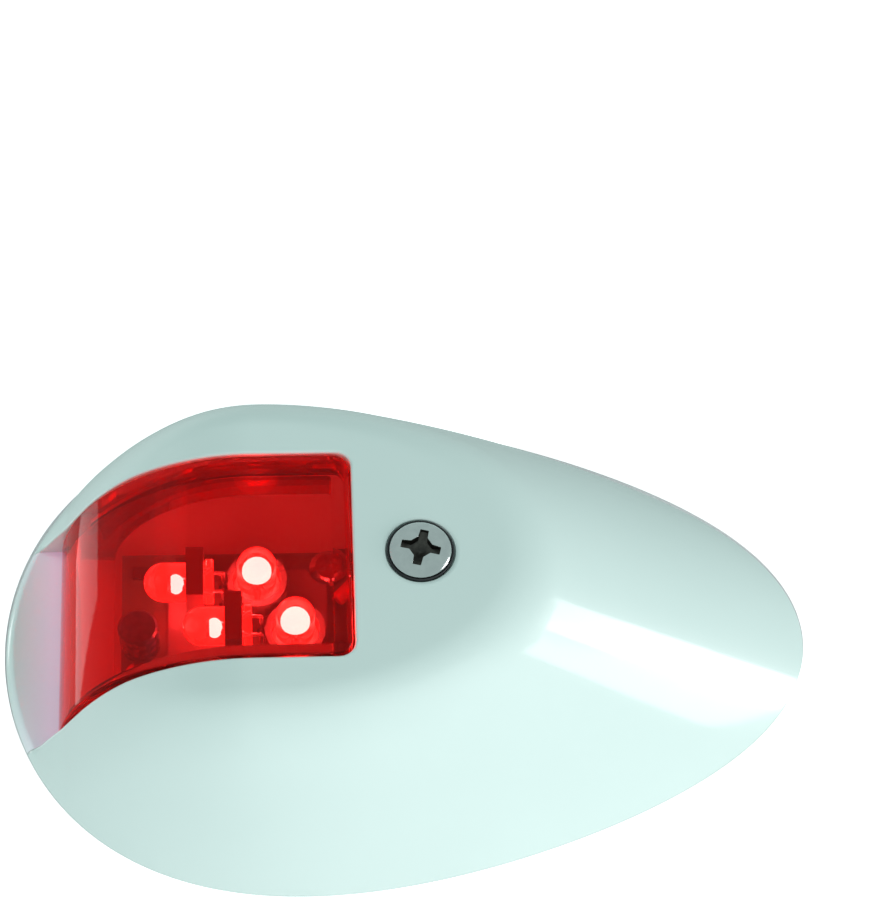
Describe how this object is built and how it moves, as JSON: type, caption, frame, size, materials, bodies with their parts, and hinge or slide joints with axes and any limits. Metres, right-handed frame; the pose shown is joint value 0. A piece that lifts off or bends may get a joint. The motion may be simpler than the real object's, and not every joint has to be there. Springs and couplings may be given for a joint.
{
  "type": "navigation light",
  "caption": "Port side navigation light for a small boat: egg-shaped white cover with a wrap-round red lens over LEDs, held to a base plate by one screw.",
  "frame": {"origin": "centre of the mounting face, on the back of the mounting gasket", "axes": "+Z out of the mounting face, outboard; -X to the bow, the blunt end with the lens; +Y up when it is fixed to a hull side"},
  "size_m": [0.1056, 0.0701, 0.0303],
  "materials": {
    "white_enamel": "glossy white",
    "red_lens": "clear red polycarbonate",
    "foam": "closed-cell foam",
    "base_plastic": "moulded, light grey",
    "rubber": "black, matte",
    "brass": "turned",
    "steel": "polished stainless",
    "circuit_board": "green solder mask",
    "black_plastic": "moulded, black",
    "component_black": "moulded epoxy",
    "capacitor_sleeve": "shrink sleeve",
    "led": "clear epoxy, lit",
    "wire_red": "PVC insulation",
    "wire_black": "PVC insulation"
  },
  "bodies": {
    "base": {"mounting_gasket": "foam", "base_plate": "base_plastic", "cover_seal": "rubber", "threaded_insert": "brass", "cable_grommet": "rubber", "led_board": "circuit_board", "led_holder": "black_plastic", "led_1": "led", "led_2": "led", "led_3": "led", "led_4": "led", "board_screw_1": "steel", "board_screw_2": "steel", "resistor_1": "component_black", "resistor_2": "component_black", "polarity_diode": "component_black", "driver_ic": "component_black", "filter_capacitor": "capacitor_sleeve", "terminal_block": "base_plastic", "terminal_clamp_1": "brass", "terminal_clamp_2": "brass", "lead_negative": "wire_black", "lead_positive": "wire_red"},
    "cover": {"cover": "white_enamel", "lens": "red_lens", "lens_gasket": "rubber"},
    "screw_seal": {"screw_seal": "rubber"},
    "cover_screw": {"cover_screw": "steel"},
    "pressure_plate_1": {"pressure_plate_1": "steel"},
    "pressure_plate_2": {"pressure_plate_2": "steel"},
    "terminal_screw_1": {"terminal_screw_1": "steel"},
    "terminal_screw_2": {"terminal_screw_2": "steel"}
  },
  "joints": [
    {"name": "cover_lift", "type": "slide", "parent": "base", "child": "cover", "axis": [0, 0, 1], "range_m": [0, 0.035]},
    {"name": "screw_draw", "type": "slide", "parent": "cover", "child": "screw_seal", "axis": [0, 0, 1], "range_m": [0, 0.0079]},
    {"name": "cover_screw_turn", "type": "hinge", "parent": "screw_seal", "child": "cover_screw", "pos_m": [0.0008, 0, 0.0292], "axis": [0, 0, 1], "range_deg": [0, 3600]},
    {"name": "plate_rise_1", "type": "slide", "parent": "base", "child": "pressure_plate_1", "axis": [0, 0, 1], "range_m": [0, 0.00125]},
    {"name": "terminal_screw_turn_1", "type": "hinge", "parent": "pressure_plate_1", "child": "terminal_screw_1", "pos_m": [0.0275, -0.004, 0.011], "axis": [0, 0, 1], "range_deg": [0, 901]},
    {"name": "plate_rise_2", "type": "slide", "parent": "base", "child": "pressure_plate_2", "axis": [0, 0, 1], "range_m": [0, 0.00125]},
    {"name": "terminal_screw_turn_2", "type": "hinge", "parent": "pressure_plate_2", "child": "terminal_screw_2", "pos_m": [0.0275, 0.004, 0.011], "axis": [0, 0, 1], "range_deg": [0, 901]}
  ],
  "couplings": [
    {"joint": "cover_screw_turn", "follows": "screw_draw", "rad_per_m": 7915.8},
    {"joint": "terminal_screw_turn_1", "follows": "plate_rise_1", "rad_per_m": 12566},
    {"joint": "terminal_screw_turn_2", "follows": "plate_rise_2", "rad_per_m": 12566}
  ]
}
